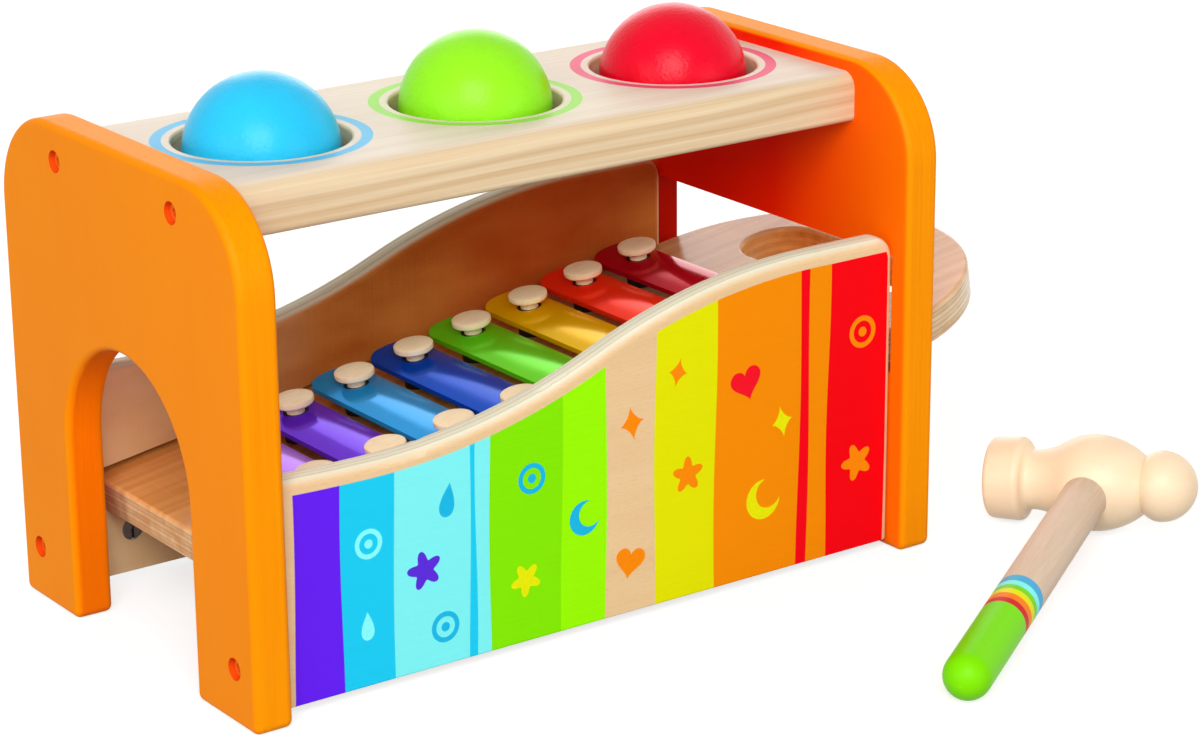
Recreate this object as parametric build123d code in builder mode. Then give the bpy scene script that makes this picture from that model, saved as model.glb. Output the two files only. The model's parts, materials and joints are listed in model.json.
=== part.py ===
from build123d import *
import os
from math import asin, atan, cos, degrees, radians, sin, sqrt, tan

# Pounding bench with a sliding xylophone and a hammer, in millimetres.
# The origin lies in the middle of the set's footprint, on the surface it stands on.
# +X runs from the ball arch to the xylophone's grip, +Y from the printed wall to the rear one, +Z up.

# End panels
bench_length = 239.1
bench_depth = 135.7
bench_height = 149.7
panel_thickness = 11.8
panel_corner_radius = 28.0
panel_edge_radius = 2.0
leg_width = 32.7
foot_radius = 2.5
arch_height = 90.9
window_headroom = 22.5
window_side_gap = 2.5
window_sill_gap = 1.3

# Top plank, balls and their rubber rings
plank_width = 85.0
plank_thickness = 15.0
plank_top_drop = 4.1
plank_top_radius = 5.0
plank_foot_radius = 2.0
ball_count = 3
ball_diameter = 45.0
ball_hole_gap = 2.8
end_land_share = 0.167
ball_hole_edge = 0.9
ring_section = 5.5
ring_grip = 0.6
ring_seat_gap = 0.2
ring_floor = 1.87
ring_groove_gap = 0.05
middle_ring_lift = 1.9

# Side walls
wall_thickness = 8.5
wall_inset = 5.6
wall_floor_gap = 3.0
wall_end_height = 69.2
wall_low_height = 68.4
wall_high_height = 99.9
wall_curve_start_share = 0.14
wall_curve_end_share = 0.855
wall_corner_radius = 7.0
wall_rim_radius = 3.0
wall_foot_edge = 0.5

# Sliding board and the grooves that carry it
board_thickness = 10.9
board_slope = 8.93
board_end_gap = 5.8
board_end_height = 35.8
board_corner_radius = 3.0
board_edge_radius = 1.2
tongue_reach = 53.2
grip_to_tip = 39.5
grip_width = 26.0
grip_length = 73.6
groove_depth = 5.3
groove_side_gap = 0.3
groove_seat_gap = 0.1
groove_play = 1.5
groove_stop_gap = 1.5
groove_corner_radius = 3.2

# Tone bars, pegs and grommets
bar_count = 8
first_bar_from_end = 32.1
last_bar_from_panel = 22.0
bar_gap = 4.7
bar_overhang = 15.2
bar_thickness = 1.6
bar_rise = 1.4
bar_lift = 6.0
bar_corner_radius = 5.0
bar_hole_diameter = 7.8
bar_wall_gap = 3.0
row_step = 1.7
peg_stem_diameter = 5.5
peg_head_diameter = 12.2
peg_head_thickness = 2.7
peg_head_edge = 0.9
peg_head_lift = 2.3
peg_floor = 1.5
peg_hole_gap = 0.05
peg_hole_floor_gap = 0.2
grommet_diameter = 9.0
grommet_collar_gap = 0.3
grommet_collar_drop = 0.3
grommet_bore_gap = 0.1
grommet_top_gap = 0.05

# Bolts and barrel nuts
bolt_diameter = 3.8
bolt_head_diameter = 6.0
bolt_head_height = 3.2
bolt_head_sink = 1.6
bolt_hole_gap = 0.1
bolt_head_gap = 0.2
bolt_tip_length = 3.0
bolt_edge_chamfer = 0.4
socket_width = 2.5
socket_depth = 1.8
nut_diameter = 7.0
nut_gap = 0.1
nut_from_panel = 17.3
nut_slot_width = 1.0
nut_slot_depth = 1.0
nut_face_sink = 0.4
plank_nut_floor = 3.0
wall_nut_floor = 1.2
plank_bolt_inset = 9.35
plank_bolt_drop = 6.4
wall_bolt_share = 0.62
wall_bolt_height = 16.5

# Hammer
head_from_right = 49.7
head_ahead = 20.0
hammer_heading = -57.75
belly_radius = 15.05
face_radius = 12.7
face_edge_radius = 1.6
face_distance = 33.0
flange_radius = 13.1
flange_distance = 23.5
waist_radius = 9.4
waist_distance = 19.0
neck_radius = 8.8
neck_distance = 16.0
ball_end_radius = 11.05
ball_end_distance = 21.1
handle_diameter = 14.1
handle_length = 147.4
handle_root = 8.0
handle_hole_gap = 0.05
handle_floor_gap = 0.2
floor_gap = 0.12

cut_overrun = 1.0

os.makedirs("parts", exist_ok=True)


def save(piece, name):
    """Label a finished piece and write it to its own file."""
    piece.part.label = name
    export_step(piece.part, f"parts/{name}.step")


# Hammer attitude: it lies on its face rim, its belly and the end of its handle
belly_to_rim = face_distance - face_edge_radius
head_tilt = degrees(atan((belly_radius - face_radius) / belly_to_rim))
handle_radius = handle_diameter / 2
head_height = belly_radius + floor_gap
handle_droop = degrees(asin((head_height - handle_radius - floor_gap) / (handle_length - handle_radius)))
hammer_turn = Rotation(0, 0, hammer_heading) * Rotation(handle_droop, 0, 0) * Rotation(0, -head_tilt, 0)
hammer_axes = Plane(hammer_turn)

# Places shared by the pieces
ball_end_right = ball_end_distance * hammer_axes.x_dir.X + ball_end_radius
handle_forward = (handle_length - handle_radius) * hammer_axes.y_dir.Y + handle_radius
set_length = bench_length + head_from_right + ball_end_right
set_depth = bench_depth + head_ahead + handle_forward
left_x = -set_length / 2
right_x = left_x + bench_length
inner_left_x = left_x + panel_thickness
inner_right_x = right_x - panel_thickness
inner_length = bench_length - 2 * panel_thickness
back_y = set_depth / 2
front_y = back_y - bench_depth
middle_y = (front_y + back_y) / 2
middle_plane = Plane.XZ.offset(-middle_y)

# The board's own plane: x up the slope from the board's left end, z square to its top
slope = radians(board_slope)
board_end_x = inner_left_x + board_end_gap
slope_direction = (cos(slope), 0, sin(slope))
slope_normal = (-sin(slope), 0, cos(slope))
board_plane = Plane(
    origin=(board_end_x, middle_y, board_end_height), x_dir=slope_direction, z_dir=slope_normal
)
wall_inner_offset = bench_depth / 2 - wall_inset - wall_thickness
board_width = 2 * (wall_inner_offset + groove_depth - groove_side_gap)
board_length = (right_x + tongue_reach - board_end_x) / cos(slope)
top_at_right_face = board_end_height + (right_x - board_end_x) * tan(slope)
top_at_inner_right = board_end_height + (inner_right_x - board_end_x) * tan(slope)
underside_at_inner_right = top_at_inner_right - board_thickness / cos(slope)

# Fastener places
plank_top = bench_height - plank_top_drop
plank_bolt_z = plank_top - plank_bolt_drop
plank_bolt_offset = plank_width / 2 - plank_bolt_inset
plank_bolt_rows = [middle_y - plank_bolt_offset, middle_y + plank_bolt_offset]
wall_bolt_offset = wall_inner_offset + wall_thickness * (1 - wall_bolt_share)
wall_bolt_rows = [middle_y - wall_bolt_offset, middle_y + wall_bolt_offset]
plank_bolt_places = [(y, plank_bolt_z) for y in plank_bolt_rows]
wall_bolt_places = [(y, wall_bolt_height) for y in wall_bolt_rows]
bolt_places = plank_bolt_places + wall_bolt_places
bolt_hole_radius = bolt_diameter / 2 + bolt_hole_gap
head_hole_radius = bolt_head_diameter / 2 + bolt_head_gap
head_hole_depth = bolt_head_sink + bolt_head_height
bolt_reach = panel_thickness + nut_from_panel + nut_diameter / 2 + bolt_tip_length
bolt_hole_reach = bolt_reach + bolt_tip_length


def s_bend(start, end):
    """Two equal arcs from one point to another, level at both."""
    turn = ((start[0] + end[0]) / 2, (start[1] + end[1]) / 2)
    onward = 1 if end[0] > start[0] else -1
    TangentArc(start, turn, tangent=(onward, 0))
    TangentArc(end, turn, tangent=(-onward, 0))


def panel_blank(outer_x, inward):
    """An end panel with its rounded outline and bolt holes, still without its opening."""
    with BuildPart() as panel:
        with BuildSketch(Plane.YZ.offset(outer_x)):
            with Locations((middle_y, bench_height / 2)):
                Rectangle(bench_depth, bench_height)
            top_corners = vertices().group_by(Axis.Y)[-1]
            fillet(top_corners, panel_corner_radius)
        extrude(amount=inward * panel_thickness)
        with BuildSketch(Plane.YZ.offset(outer_x)):
            with Locations(*bolt_places):
                Circle(bolt_hole_radius)
        extrude(amount=inward * panel_thickness, mode=Mode.SUBTRACT)
        with BuildSketch(Plane.YZ.offset(outer_x)):
            with Locations(*bolt_places):
                Circle(head_hole_radius)
        extrude(amount=inward * head_hole_depth, mode=Mode.SUBTRACT)
    return panel


def outline_edges(piece):
    """The edges round both broad faces of a panel, without the bolt holes."""
    faces = piece.faces().filter_by(Axis.X).sort_by(SortBy.AREA)[-2:]
    return faces.edges().filter_by(lambda edge: not edge.is_closed)


# Left end panel: a tall arch between two legs lets the balls roll out
arch_radius = bench_depth / 2 - leg_width
arch_centre_z = arch_height - arch_radius
left_blank = panel_blank(left_x, 1)
with BuildPart() as left_end_panel:
    add(left_blank.part)
    with BuildSketch(Plane.YZ.offset(left_x)):
        with Locations((middle_y, arch_centre_z)):
            Circle(arch_radius)
        with Locations((middle_y, arch_centre_z)):
            Rectangle(2 * arch_radius, arch_centre_z + cut_overrun, align=(Align.CENTER, Align.MAX))
    extrude(amount=panel_thickness, mode=Mode.SUBTRACT)
    foot_corners = left_end_panel.edges().filter_by(Axis.X).group_by(Axis.Z)[0]
    fillet(foot_corners, foot_radius)
    fillet(outline_edges(left_end_panel), panel_edge_radius)
save(left_end_panel, "left_end_panel")

# Right end panel: a square window that the board slides out through
window_width = board_width + 2 * window_side_gap
window_top = top_at_right_face + window_headroom
window_sill = underside_at_inner_right - window_sill_gap
right_blank = panel_blank(right_x, -1)
with BuildPart() as right_end_panel:
    add(right_blank.part)
    foot_corners = right_end_panel.edges().filter_by(Axis.X).group_by(Axis.Z)[0]
    fillet(foot_corners, foot_radius)
    fillet(outline_edges(right_end_panel), panel_edge_radius)
    with BuildSketch(Plane.YZ.offset(right_x)):
        with Locations((middle_y, window_sill)):
            Rectangle(window_width, window_top - window_sill, align=(Align.CENTER, Align.MIN))
    extrude(amount=-panel_thickness, mode=Mode.SUBTRACT)
save(right_end_panel, "right_end_panel")

# Pounding plank: three holes, each with a groove for its rubber ring
ball_radius = ball_diameter / 2
ball_hole_radius = ball_radius + ball_hole_gap
end_land = end_land_share * (inner_length - 2 * ball_hole_radius * ball_count)
first_ball_from_panel = end_land + ball_hole_radius
ball_pitch = (inner_length - 2 * first_ball_from_panel) / (ball_count - 1)
ball_places = [inner_left_x + first_ball_from_panel + ball_pitch * i for i in range(ball_count)]
ring_radius = ring_section / 2
ring_groove_radius = ring_radius + ring_groove_gap
ring_centre_radius = ball_radius - ring_grip + ring_radius
lowest_ring_z = plank_top - plank_thickness + ring_floor + ring_groove_radius
ring_heights = [lowest_ring_z, lowest_ring_z + middle_ring_lift, lowest_ring_z]
ring_places = list(zip(ball_places, ring_heights))
ring_reach = ball_radius + ring_radius + ring_seat_gap
ball_above_ring = sqrt(ring_reach**2 - ring_centre_radius**2)
nut_hole_radius = nut_diameter / 2 + nut_gap
nut_places_x = [inner_left_x + nut_from_panel, inner_right_x - nut_from_panel]
plank_nut_length = plank_thickness - plank_nut_floor - nut_face_sink
plank_nut_spots = [(x, y) for x in nut_places_x for y in plank_bolt_rows]
plank_underside = Plane.XY.offset(plank_top - plank_thickness)
with BuildPart() as pounding_plank:
    with BuildSketch(Plane.YZ.offset(inner_left_x)):
        with Locations((middle_y, plank_top)):
            Rectangle(plank_width, plank_thickness, align=(Align.CENTER, Align.MAX))
        fillet(vertices().group_by(Axis.Y)[0], plank_foot_radius)
        fillet(vertices().group_by(Axis.Y)[-1], plank_top_radius)
    extrude(amount=inner_length)
    with BuildSketch(Plane.XY.offset(plank_top)):
        with Locations(*[(x, middle_y) for x in ball_places]):
            Circle(ball_hole_radius)
    extrude(amount=-plank_thickness, mode=Mode.SUBTRACT)
    rims = pounding_plank.edges().filter_by(GeomType.CIRCLE).filter_by(
        lambda edge: abs(edge.radius - ball_hole_radius) < ball_hole_edge
    )
    fillet(rims, ball_hole_edge)
    for x, ring_z in ring_places:
        with BuildSketch(Plane.XZ.offset(-middle_y)):
            with Locations((x + ring_centre_radius, ring_z)):
                Circle(ring_groove_radius)
        revolve(axis=Axis((x, middle_y, 0), (0, 0, 1)), mode=Mode.SUBTRACT)
    for face_x, inward in ((inner_left_x, 1), (inner_right_x, -1)):
        with BuildSketch(Plane.YZ.offset(face_x)):
            with Locations(*plank_bolt_places):
                Circle(bolt_hole_radius)
        extrude(amount=inward * (bolt_hole_reach - panel_thickness), mode=Mode.SUBTRACT)
    with BuildSketch(plank_underside):
        with Locations(*plank_nut_spots):
            Circle(nut_hole_radius)
    extrude(amount=plank_thickness - plank_nut_floor, mode=Mode.SUBTRACT)
save(pounding_plank, "pounding_plank")

# Side walls: a low left end swells up to the right, and a routed groove carries the board
wall_start_x = inner_left_x + inner_length * wall_curve_start_share
wall_end_x = inner_left_x + inner_length * wall_curve_end_share
groove_height = board_thickness + groove_seat_gap + groove_play
groove_axis_drop = board_thickness + groove_seat_gap - groove_height / 2
groove_length = board_length + groove_stop_gap
wall_nut_length = wall_thickness - wall_nut_floor - nut_face_sink
wall_nut_spots = [(x, wall_bolt_height) for x in nut_places_x]
front_inner_y = middle_y - wall_inner_offset
front_inner_plane = Plane.XZ.offset(-front_inner_y)
groove_plane = Plane(
    origin=board_plane.from_local_coords((-groove_stop_gap, -wall_inner_offset, -groove_axis_drop)),
    x_dir=slope_direction,
    z_dir=(0, -1, 0),
)
with BuildPart() as front_wall:
    with BuildSketch(front_inner_plane):
        with BuildLine():
            Polyline(
                (inner_left_x, wall_end_height),
                (inner_left_x, wall_floor_gap),
                (inner_right_x, wall_floor_gap),
                (inner_right_x, wall_high_height),
                (wall_end_x, wall_high_height),
            )
            s_bend((wall_end_x, wall_high_height), (wall_start_x, wall_low_height))
            TangentArc((wall_start_x, wall_low_height), (inner_left_x, wall_end_height), tangent=(-1, 0))
        make_face()
        right_corners = vertices().group_by(Axis.X)[-1].sort_by(Axis.Y)
        fillet(right_corners[-1], wall_corner_radius)
    extrude(amount=wall_thickness)
    broad_faces = front_wall.faces().filter_by(Axis.Y).sort_by(SortBy.AREA)[-2:]
    rim_from_x = inner_left_x + wall_rim_radius
    rim_from_z = wall_floor_gap + wall_rim_radius
    rim_edges = broad_faces.edges().filter_by(
        lambda edge: edge.center().X > rim_from_x and edge.center().Z > rim_from_z
    )
    fillet(rim_edges, wall_rim_radius)
    foot_edges = front_wall.edges().filter_by(Axis.X).group_by(Axis.Z)[0]
    fillet(foot_edges, wall_foot_edge)
    with BuildSketch(groove_plane):
        Rectangle(groove_length, groove_height, align=(Align.MIN, Align.CENTER))
        fillet(vertices().group_by(Axis.X)[0], groove_corner_radius)
    extrude(amount=groove_depth, mode=Mode.SUBTRACT)
    for face_x, inward in ((inner_left_x, 1), (inner_right_x, -1)):
        with BuildSketch(Plane.YZ.offset(face_x)):
            with Locations((wall_bolt_rows[0], wall_bolt_height)):
                Circle(bolt_hole_radius)
        extrude(amount=inward * (bolt_hole_reach - panel_thickness), mode=Mode.SUBTRACT)
    with BuildSketch(front_inner_plane):
        with Locations(*wall_nut_spots):
            Circle(nut_hole_radius)
    extrude(amount=wall_thickness - wall_nut_floor, mode=Mode.SUBTRACT)
save(front_wall, "front_wall")

with BuildPart() as rear_wall:
    mirror(front_wall.part, about=middle_plane)
save(rear_wall, "rear_wall")

# Sliding board: a straight left end, a half-round tongue and a long hand hole across it
tongue_radius = board_width / 2
grip_x = board_length - grip_to_tip
first_bar_x = first_bar_from_end
last_bar_x = (inner_right_x - board_end_x) / cos(slope) - last_bar_from_panel
bar_pitch = (last_bar_x - first_bar_x) / (bar_count - 1)
bar_width = bar_pitch - bar_gap
bar_places = [first_bar_x + bar_pitch * i for i in range(bar_count)]
last_row_offset = wall_inner_offset - bar_wall_gap - bar_overhang
row_offsets = [last_row_offset - row_step * (bar_count - 1 - i) for i in range(bar_count)]
peg_root_depth = board_thickness - peg_floor
peg_hole_radius = peg_stem_diameter / 2 + peg_hole_gap
with BuildPart() as xylophone_board:
    with BuildSketch(board_plane):
        Rectangle(board_length - tongue_radius, board_width, align=(Align.MIN, Align.CENTER))
        end_corners = vertices().group_by(Axis.X)[0]
        fillet(end_corners, board_corner_radius)
        with Locations((board_length - tongue_radius, 0)):
            Circle(tongue_radius)
        with Locations((grip_x, 0)):
            SlotOverall(grip_length, grip_width, rotation=90, mode=Mode.SUBTRACT)
    extrude(amount=-board_thickness)
    board_faces = xylophone_board.faces().filter_by(board_plane).sort_by(SortBy.AREA)[-2:]
    fillet(board_faces.edges(), board_edge_radius)
    with BuildSketch(board_plane):
        for x, row in zip(bar_places, row_offsets):
            with Locations((x, -row), (x, row)):
                Circle(peg_hole_radius)
    extrude(amount=-(peg_root_depth + peg_hole_floor_gap), mode=Mode.SUBTRACT)
save(xylophone_board, "xylophone_board")

# Tone bars: thin arched strips, longer towards the right, held by two pegs each
bar_top_height = bar_lift + bar_thickness + bar_rise
peg_top_height = bar_top_height + peg_head_lift + peg_head_thickness
bar_arch_radius = (bar_width**2 / 4 + bar_rise**2) / (2 * bar_rise)
seat_fall = bar_arch_radius - sqrt(bar_arch_radius**2 - (grommet_diameter / 2) ** 2)
grommet_seat_height = bar_lift + bar_rise - seat_fall - grommet_top_gap
grommet_top_height = bar_top_height - grommet_collar_drop


def tone_bar(number):
    """One arched strip across the board, with rounded corners and its two peg holes."""
    half_length = row_offsets[number] + bar_overhang
    bar_plane = Plane(
        origin=board_plane.from_local_coords((bar_places[number], 0, 0)),
        x_dir=slope_direction,
        z_dir=(0, -1, 0),
    )
    foot_plane = Plane(
        origin=board_plane.from_local_coords((bar_places[number], 0, 0)),
        x_dir=slope_direction,
        z_dir=slope_normal,
    )
    edge_top = bar_lift + bar_thickness
    with BuildPart() as bar:
        with BuildSketch(bar_plane):
            with BuildLine():
                Line((-bar_width / 2, bar_lift), (-bar_width / 2, edge_top))
                ThreePointArc(
                    (-bar_width / 2, edge_top), (0, bar_top_height), (bar_width / 2, edge_top)
                )
                Line((bar_width / 2, edge_top), (bar_width / 2, bar_lift))
                ThreePointArc(
                    (bar_width / 2, bar_lift), (0, bar_lift + bar_rise), (-bar_width / 2, bar_lift)
                )
            make_face()
        extrude(amount=half_length, both=True)
        with BuildSketch(foot_plane):
            RectangleRounded(bar_width, 2 * half_length, bar_corner_radius)
            with Locations((0, -row_offsets[number]), (0, row_offsets[number])):
                Circle(bar_hole_diameter / 2, mode=Mode.SUBTRACT)
        extrude(amount=bar_top_height + cut_overrun, mode=Mode.INTERSECT)
    return bar


for number in range(bar_count):
    save(tone_bar(number), f"tone_bar_{number + 1}")


def turned_on_board(number, side, outline):
    """A round piece standing square on the board at one end of a tone bar."""
    foot = board_plane.from_local_coords((bar_places[number], side * row_offsets[number], 0))
    with BuildPart() as piece:
        with BuildSketch(Plane(origin=foot, x_dir=slope_direction, z_dir=(0, -1, 0))):
            with BuildLine():
                outline()
            make_face()
        revolve(axis=Axis(foot, slope_normal))
    return piece


def peg_outline():
    """Half the side view of a mushroom peg: a stem in the board and a crowned head."""
    stem = peg_stem_diameter / 2
    head = peg_head_diameter / 2
    under_head = peg_top_height - peg_head_thickness
    rim_top = peg_top_height - peg_head_edge
    rim_bottom = under_head + peg_head_edge
    Polyline((0, peg_top_height), (0, -peg_root_depth), (stem, -peg_root_depth), (stem, under_head))
    Line((stem, under_head), (head - peg_head_edge, under_head))
    TangentArc((head - peg_head_edge, under_head), (head, rim_bottom), tangent=(1, 0))
    Line((head, rim_bottom), (head, rim_top))
    Bezier((head, rim_top), (head, peg_top_height), (0, peg_top_height))


def grommet_outline():
    """Half the side view of a grommet: a wide foot under the bar and a collar through it."""
    bore = peg_stem_diameter / 2 + grommet_bore_gap
    collar = bar_hole_diameter / 2 - grommet_collar_gap
    Polyline(
        (bore, 0),
        (grommet_diameter / 2, 0),
        (grommet_diameter / 2, grommet_seat_height),
        (collar, grommet_seat_height),
        (collar, grommet_top_height),
        (bore, grommet_top_height),
        close=True,
    )


for number in range(bar_count):
    for side, row_name in ((-1, "front"), (1, "rear")):
        save(turned_on_board(number, side, peg_outline), f"{row_name}_peg_{number + 1}")
        save(turned_on_board(number, side, grommet_outline), f"{row_name}_grommet_{number + 1}")

# Balls and the rubber rings that they rest on
for (x, ring_z), place_name in zip(ring_places, ("left", "middle", "right")):
    with BuildPart() as ball:
        with Locations((x, middle_y, ring_z + ball_above_ring)):
            Sphere(ball_radius)
    save(ball, f"{place_name}_ball")
    with BuildPart() as ball_ring:
        with Locations((x, middle_y, ring_z)):
            Torus(ring_centre_radius, ring_radius)
    save(ball_ring, f"{place_name}_ball_ring")


# Bolts: recessed socket heads in the panels, threaded into barrel nuts
def bolt_group(places):
    """The bolts at these heights and rows, two from each end panel."""
    with BuildPart() as bolts:
        for face_x, inward in ((left_x, 1), (right_x, -1)):
            top_x = face_x + inward * bolt_head_sink
            top_plane = Plane(origin=(top_x, 0, 0), x_dir=(0, 1, 0), z_dir=(inward, 0, 0))
            spots = [(y, inward * z) for y, z in places]
            with BuildSketch(top_plane):
                with Locations(*spots):
                    Circle(bolt_head_diameter / 2)
            extrude(amount=bolt_head_height)
            with BuildSketch(top_plane):
                with Locations(*spots):
                    Circle(bolt_diameter / 2)
            extrude(amount=bolt_reach - bolt_head_sink)
            with BuildSketch(top_plane):
                with Locations(*spots):
                    RegularPolygon(socket_width / 2, 6, major_radius=False)
            extrude(amount=socket_depth, mode=Mode.SUBTRACT)
        circles = bolts.edges().filter_by(GeomType.CIRCLE)
        chamfer(circles.group_by(Axis.X)[0] + circles.group_by(Axis.X)[-1], bolt_edge_chamfer)
    return bolts


save(bolt_group(plank_bolt_places), "plank_bolts")
save(bolt_group(wall_bolt_places), "wall_bolts")


def nut_group(mouth_plane, spots, length):
    """Slotted barrel nuts just inside the mouths of their holes."""
    with BuildPart() as nuts:
        with BuildSketch(mouth_plane.offset(nut_face_sink)):
            with Locations(*spots):
                Circle(nut_diameter / 2)
        extrude(amount=length)
        with BuildSketch(mouth_plane.offset(nut_face_sink)):
            with Locations(*spots):
                Rectangle(nut_slot_width, nut_diameter + cut_overrun)
        extrude(amount=nut_slot_depth, mode=Mode.SUBTRACT)
    return nuts


def cross_bored(nuts, places):
    """The same nuts with their bolt bores along X."""
    with BuildPart() as bored:
        add(nuts.part)
        for face_x, inward in ((left_x, 1), (right_x, -1)):
            with BuildSketch(Plane.YZ.offset(face_x)):
                with Locations(*places):
                    Circle(bolt_diameter / 2 + bolt_hole_gap / 2)
            extrude(amount=inward * bolt_hole_reach, mode=Mode.SUBTRACT)
    return bored


plank_nuts = nut_group(plank_underside, plank_nut_spots, plank_nut_length)
save(cross_bored(plank_nuts, plank_bolt_places), "plank_barrel_nuts")

front_nuts = nut_group(front_inner_plane, wall_nut_spots, wall_nut_length)
with BuildPart() as wall_nuts:
    add(front_nuts.part)
    mirror(front_nuts.part, about=middle_plane)
save(cross_bored(wall_nuts, wall_bolt_places), "wall_barrel_nuts")

# Hammer: a turned head with a flat face and a ball end, and a dowel handle square to it
hammer_place = Location((right_x + head_from_right, front_y - head_ahead, head_height)) * hammer_turn
head_plane = Plane(hammer_place)
handle_plane = Plane(origin=head_plane.origin, x_dir=head_plane.x_dir, z_dir=-head_plane.y_dir)
with BuildPart() as hammer_head:
    with BuildSketch(head_plane):
        with BuildLine():
            Polyline(
                (ball_end_distance + ball_end_radius, 0),
                (-face_distance, 0),
                (-face_distance, face_radius - face_edge_radius),
            )
            TangentArc(
                (-face_distance, face_radius - face_edge_radius),
                (-face_distance + face_edge_radius, face_radius),
                tangent=(0, 1),
            )
            Line((-face_distance + face_edge_radius, face_radius), (-flange_distance, flange_radius))
            s_bend((-flange_distance, flange_radius), (-waist_distance, waist_radius))
            s_bend((-waist_distance, waist_radius), (0, belly_radius))
            TangentArc((0, belly_radius), (neck_distance, neck_radius), tangent=(1, 0))
            TangentArc((ball_end_distance, ball_end_radius), (neck_distance, neck_radius), tangent=(-1, 0))
            CenterArc((ball_end_distance, 0), ball_end_radius, 0, 90)
        make_face()
    revolve(axis=Axis(head_plane.origin, head_plane.x_dir))
    handle_hole_depth = handle_root + handle_floor_gap
    with BuildSketch(handle_plane.offset(-handle_hole_depth)):
        Circle(handle_radius + handle_hole_gap)
    extrude(amount=handle_hole_depth + belly_radius, mode=Mode.SUBTRACT)
save(hammer_head, "hammer_head")

with BuildPart() as hammer_handle:
    with BuildSketch(handle_plane.offset(-handle_root)):
        Circle(handle_radius)
    extrude(amount=handle_root + handle_length - handle_radius)
    with Locations(Location(handle_plane.offset(handle_length - handle_radius))):
        Sphere(handle_radius)
save(hammer_handle, "hammer_handle")
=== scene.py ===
import json
from math import atan2, cos, pi, radians, sin

import bmesh
import bpy
from mathutils import Matrix, Vector


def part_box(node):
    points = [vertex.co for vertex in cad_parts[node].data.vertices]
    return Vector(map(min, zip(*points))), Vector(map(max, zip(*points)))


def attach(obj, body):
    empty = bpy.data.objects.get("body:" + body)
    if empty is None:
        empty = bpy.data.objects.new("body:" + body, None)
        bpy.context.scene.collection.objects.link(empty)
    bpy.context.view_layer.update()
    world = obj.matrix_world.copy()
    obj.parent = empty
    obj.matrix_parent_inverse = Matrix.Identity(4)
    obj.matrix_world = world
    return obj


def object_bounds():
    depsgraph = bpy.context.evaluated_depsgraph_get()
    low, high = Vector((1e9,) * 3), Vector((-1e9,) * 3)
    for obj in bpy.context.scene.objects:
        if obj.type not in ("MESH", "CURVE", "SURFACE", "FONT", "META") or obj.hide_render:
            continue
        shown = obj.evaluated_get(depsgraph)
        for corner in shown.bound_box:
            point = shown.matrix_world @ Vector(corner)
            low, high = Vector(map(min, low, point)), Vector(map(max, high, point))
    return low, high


# Pounding bench with a sliding xylophone and a hammer, dressed around its fixed frame.
# Sizes and places are in millimetres, in the frame's own axes.
# Only the boxes of the whole object and the values whose names say so are in metres.
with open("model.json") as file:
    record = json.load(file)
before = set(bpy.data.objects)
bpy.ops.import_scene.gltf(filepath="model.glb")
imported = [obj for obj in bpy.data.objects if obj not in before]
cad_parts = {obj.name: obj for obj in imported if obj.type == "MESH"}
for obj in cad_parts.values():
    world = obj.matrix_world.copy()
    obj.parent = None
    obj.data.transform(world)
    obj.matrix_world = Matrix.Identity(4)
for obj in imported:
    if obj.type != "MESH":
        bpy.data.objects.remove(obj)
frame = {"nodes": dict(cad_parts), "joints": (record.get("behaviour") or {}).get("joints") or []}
cad_low, cad_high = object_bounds()
nodes = frame["nodes"]
joints = {joint["name"]: joint for joint in frame["joints"]}

MM = 0.001
PER_METRE = 1 / MM
X_AXIS = Vector((1, 0, 0))
Y_AXIS = Vector((0, 1, 0))
Z_AXIS = Vector((0, 0, 1))
ALL_ROUND = 2 * pi

# The sockets of a mixing node that mixes colours
MIX_SHARE = 0
MIX_A = 6
MIX_B = 7
MIX_RESULT = 2


def box(node):
    """The lowest and highest corners of a CAD node."""
    low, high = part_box(node)
    return low * PER_METRE, high * PER_METRE


def reach(node, direction):
    """How far a CAD node extends along a direction."""
    return max(vertex.co.dot(direction) for vertex in nodes[node].data.vertices) * PER_METRE


def colour(code, share=1.0):
    """The linear colour that a six-digit screen colour stands for, or a share of it."""
    shares = [int(code[i : i + 2], 16) / 255 for i in (0, 2, 4)]
    linear = [s / 12.92 if s <= 0.04045 else ((s + 0.055) / 1.055) ** 2.4 for s in shares]
    return (*(part * share for part in linear), 1.0)


# Places in the frame
plank_low, plank_high = box("pounding_plank")
wall_low, wall_high = box("front_wall")
rear_wall_high = box("rear_wall")[1]
panel_low = box("left_end_panel")[0]
panel_high = box("right_end_panel")[1]
ball_names = ("left_ball", "middle_ball", "right_ball")
ball_centres = [sum(box(name), Vector()) / 2 for name in ball_names]
board_direction = Vector(joints["xylophone_slide"]["axis"])
board_normal = board_direction.cross(-Y_AXIS).normalized()
board_low, board_high = box("xylophone_board")
board_top = reach("xylophone_board", board_normal)
board_thickness = board_top + reach("xylophone_board", -board_normal)
wall_thickness = wall_high.y - wall_low.y
wall_length = wall_high.x - wall_low.x

# The hammer lies turned on the surface: its handle leaves the head's middle
hammer_centre = Vector((133.299, -36.939, 15.17))
handle_direction = Vector((-0.84435, -0.53275, -0.05700)).normalized()
head_direction = Vector((0.52853, -0.84564, 0.07451)).normalized()


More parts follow.
